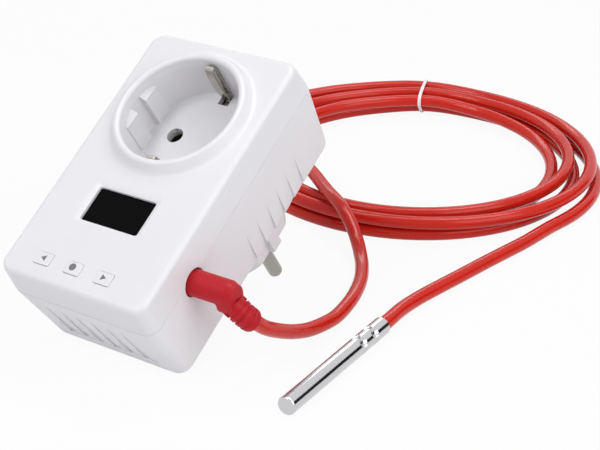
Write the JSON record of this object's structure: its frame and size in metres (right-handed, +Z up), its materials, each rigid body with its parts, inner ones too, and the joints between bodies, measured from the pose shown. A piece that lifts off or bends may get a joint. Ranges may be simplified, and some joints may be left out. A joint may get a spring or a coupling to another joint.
{
  "type": "temperature switch",
  "caption": "Plug-in temperature switch: housing with a safety socket in front and a plug behind, display, keys, and a steel probe on a coiled cord.",
  "frame": {"origin": "on the floor under the middle of the housing's box as it lies on its plug pin tips and its rear edge", "axes": "+Z up; +Y towards the socket end of the housing and the coiled cord; +X towards the jack plug"},
  "size_m": [0.1464, 0.257, 0.0816],
  "materials": {
    "white_plastic": "satin",
    "plug_nickel": "satin",
    "contact_brass": "satin",
    "display_black": "gloss",
    "module_grey": "matt",
    "board_green": "satin",
    "relay_blue": "satin",
    "capacitor_yellow": "satin",
    "part_black": "matt",
    "varistor_blue": "gloss",
    "fuse_glass": "gloss",
    "tin_plate": "satin",
    "screw_steel": "satin",
    "jack_red": "satin",
    "cord_red": "satin",
    "tie_white": "matt",
    "probe_steel": "polished"
  },
  "bodies": {
    "housing": {"front_shell": "white_plastic", "rear_shell": "white_plastic", "socket_insert": "white_plastic", "earth_bracket": "plug_nickel", "socket_contact_left": "contact_brass", "socket_contact_right": "contact_brass", "plug_base": "white_plastic", "plug_pin_left": "plug_nickel", "plug_pin_right": "plug_nickel", "plug_earth_clips": "plug_nickel", "display_window": "display_black", "display_module": "module_grey", "tact_switches": "part_black", "control_board": "board_green", "power_board": "board_green", "relay": "relay_blue", "supply_capacitor": "capacitor_yellow", "smoothing_capacitor": "part_black", "varistor": "varistor_blue", "fuse": "fuse_glass", "fuse_clips": "tin_plate", "board_link": "part_black", "jack_socket": "part_black", "case_screws": "screw_steel", "board_screws": "screw_steel"},
    "left_key": {"key_left": "white_plastic"},
    "set_key": {"key_set": "white_plastic"},
    "right_key": {"key_right": "white_plastic"},
    "sensor": {"jack_plug": "jack_red", "jack_contact": "contact_brass", "sensor_lead": "cord_red", "cord_coil": "cord_red", "probe_lead": "cord_red", "cord_tie": "tie_white", "probe_sleeve": "probe_steel"}
  },
  "joints": [
    {"name": "left_key_press", "type": "slide", "parent": "housing", "child": "left_key", "axis": [0, 0.5414, -0.8407], "range_m": [0, 0.0004], "stiffness_N_per_m": 400},
    {"name": "set_key_press", "type": "slide", "parent": "housing", "child": "set_key", "axis": [0, 0.5414, -0.8407], "range_m": [0, 0.0004], "stiffness_N_per_m": 400},
    {"name": "right_key_press", "type": "slide", "parent": "housing", "child": "right_key", "axis": [0, 0.5414, -0.8407], "range_m": [0, 0.0004], "stiffness_N_per_m": 400},
    {"name": "jack_pull", "type": "slide", "parent": "housing", "child": "sensor", "axis": [1, 0, 0], "range_m": [0, 0.016]}
  ]
}
